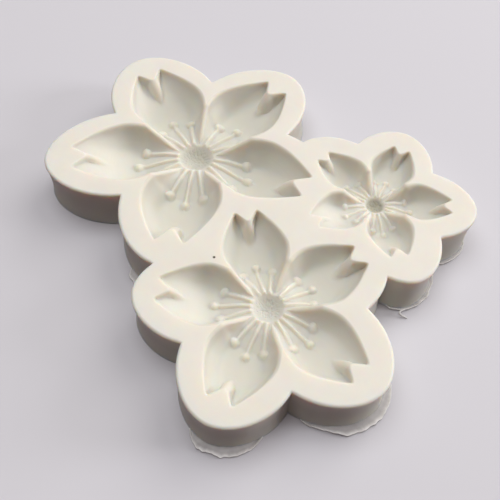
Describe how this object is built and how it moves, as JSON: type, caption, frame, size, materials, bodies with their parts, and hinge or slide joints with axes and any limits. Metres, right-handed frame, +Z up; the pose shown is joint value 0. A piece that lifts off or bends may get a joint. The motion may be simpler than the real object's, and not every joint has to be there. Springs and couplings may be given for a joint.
{
  "type": "fondant mould",
  "caption": "Palm-size silicone fondant mould with a scalloped outline and cherry blossom hollows of different sizes in its top face, for pressing sugar-paste flowers.",
  "frame": {"origin": "under the middle of the mould's bounding box, on the surface it lies on", "axes": "+Z up out of the blossom hollows, -Y towards the front, where the medium blossom lies, +X towards the small blossom"},
  "size_m": [0.0952, 0.097, 0.01],
  "materials": {
    "silicone": "soft satin cream silicone, matt on the moulded faces",
    "skin_silicone": "thin translucent silicone skin, slightly glossy"
  },
  "bodies": {
    "root": {"mould_body": "silicone", "foot_skin_medium_front": "skin_silicone", "foot_skin_medium_right": "skin_silicone", "foot_skin_small_front": "skin_silicone", "foot_skin_small_right": "skin_silicone", "foot_skin_tab": "skin_silicone", "foot_skin_thread": "skin_silicone"}
  },
  "joints": []
}
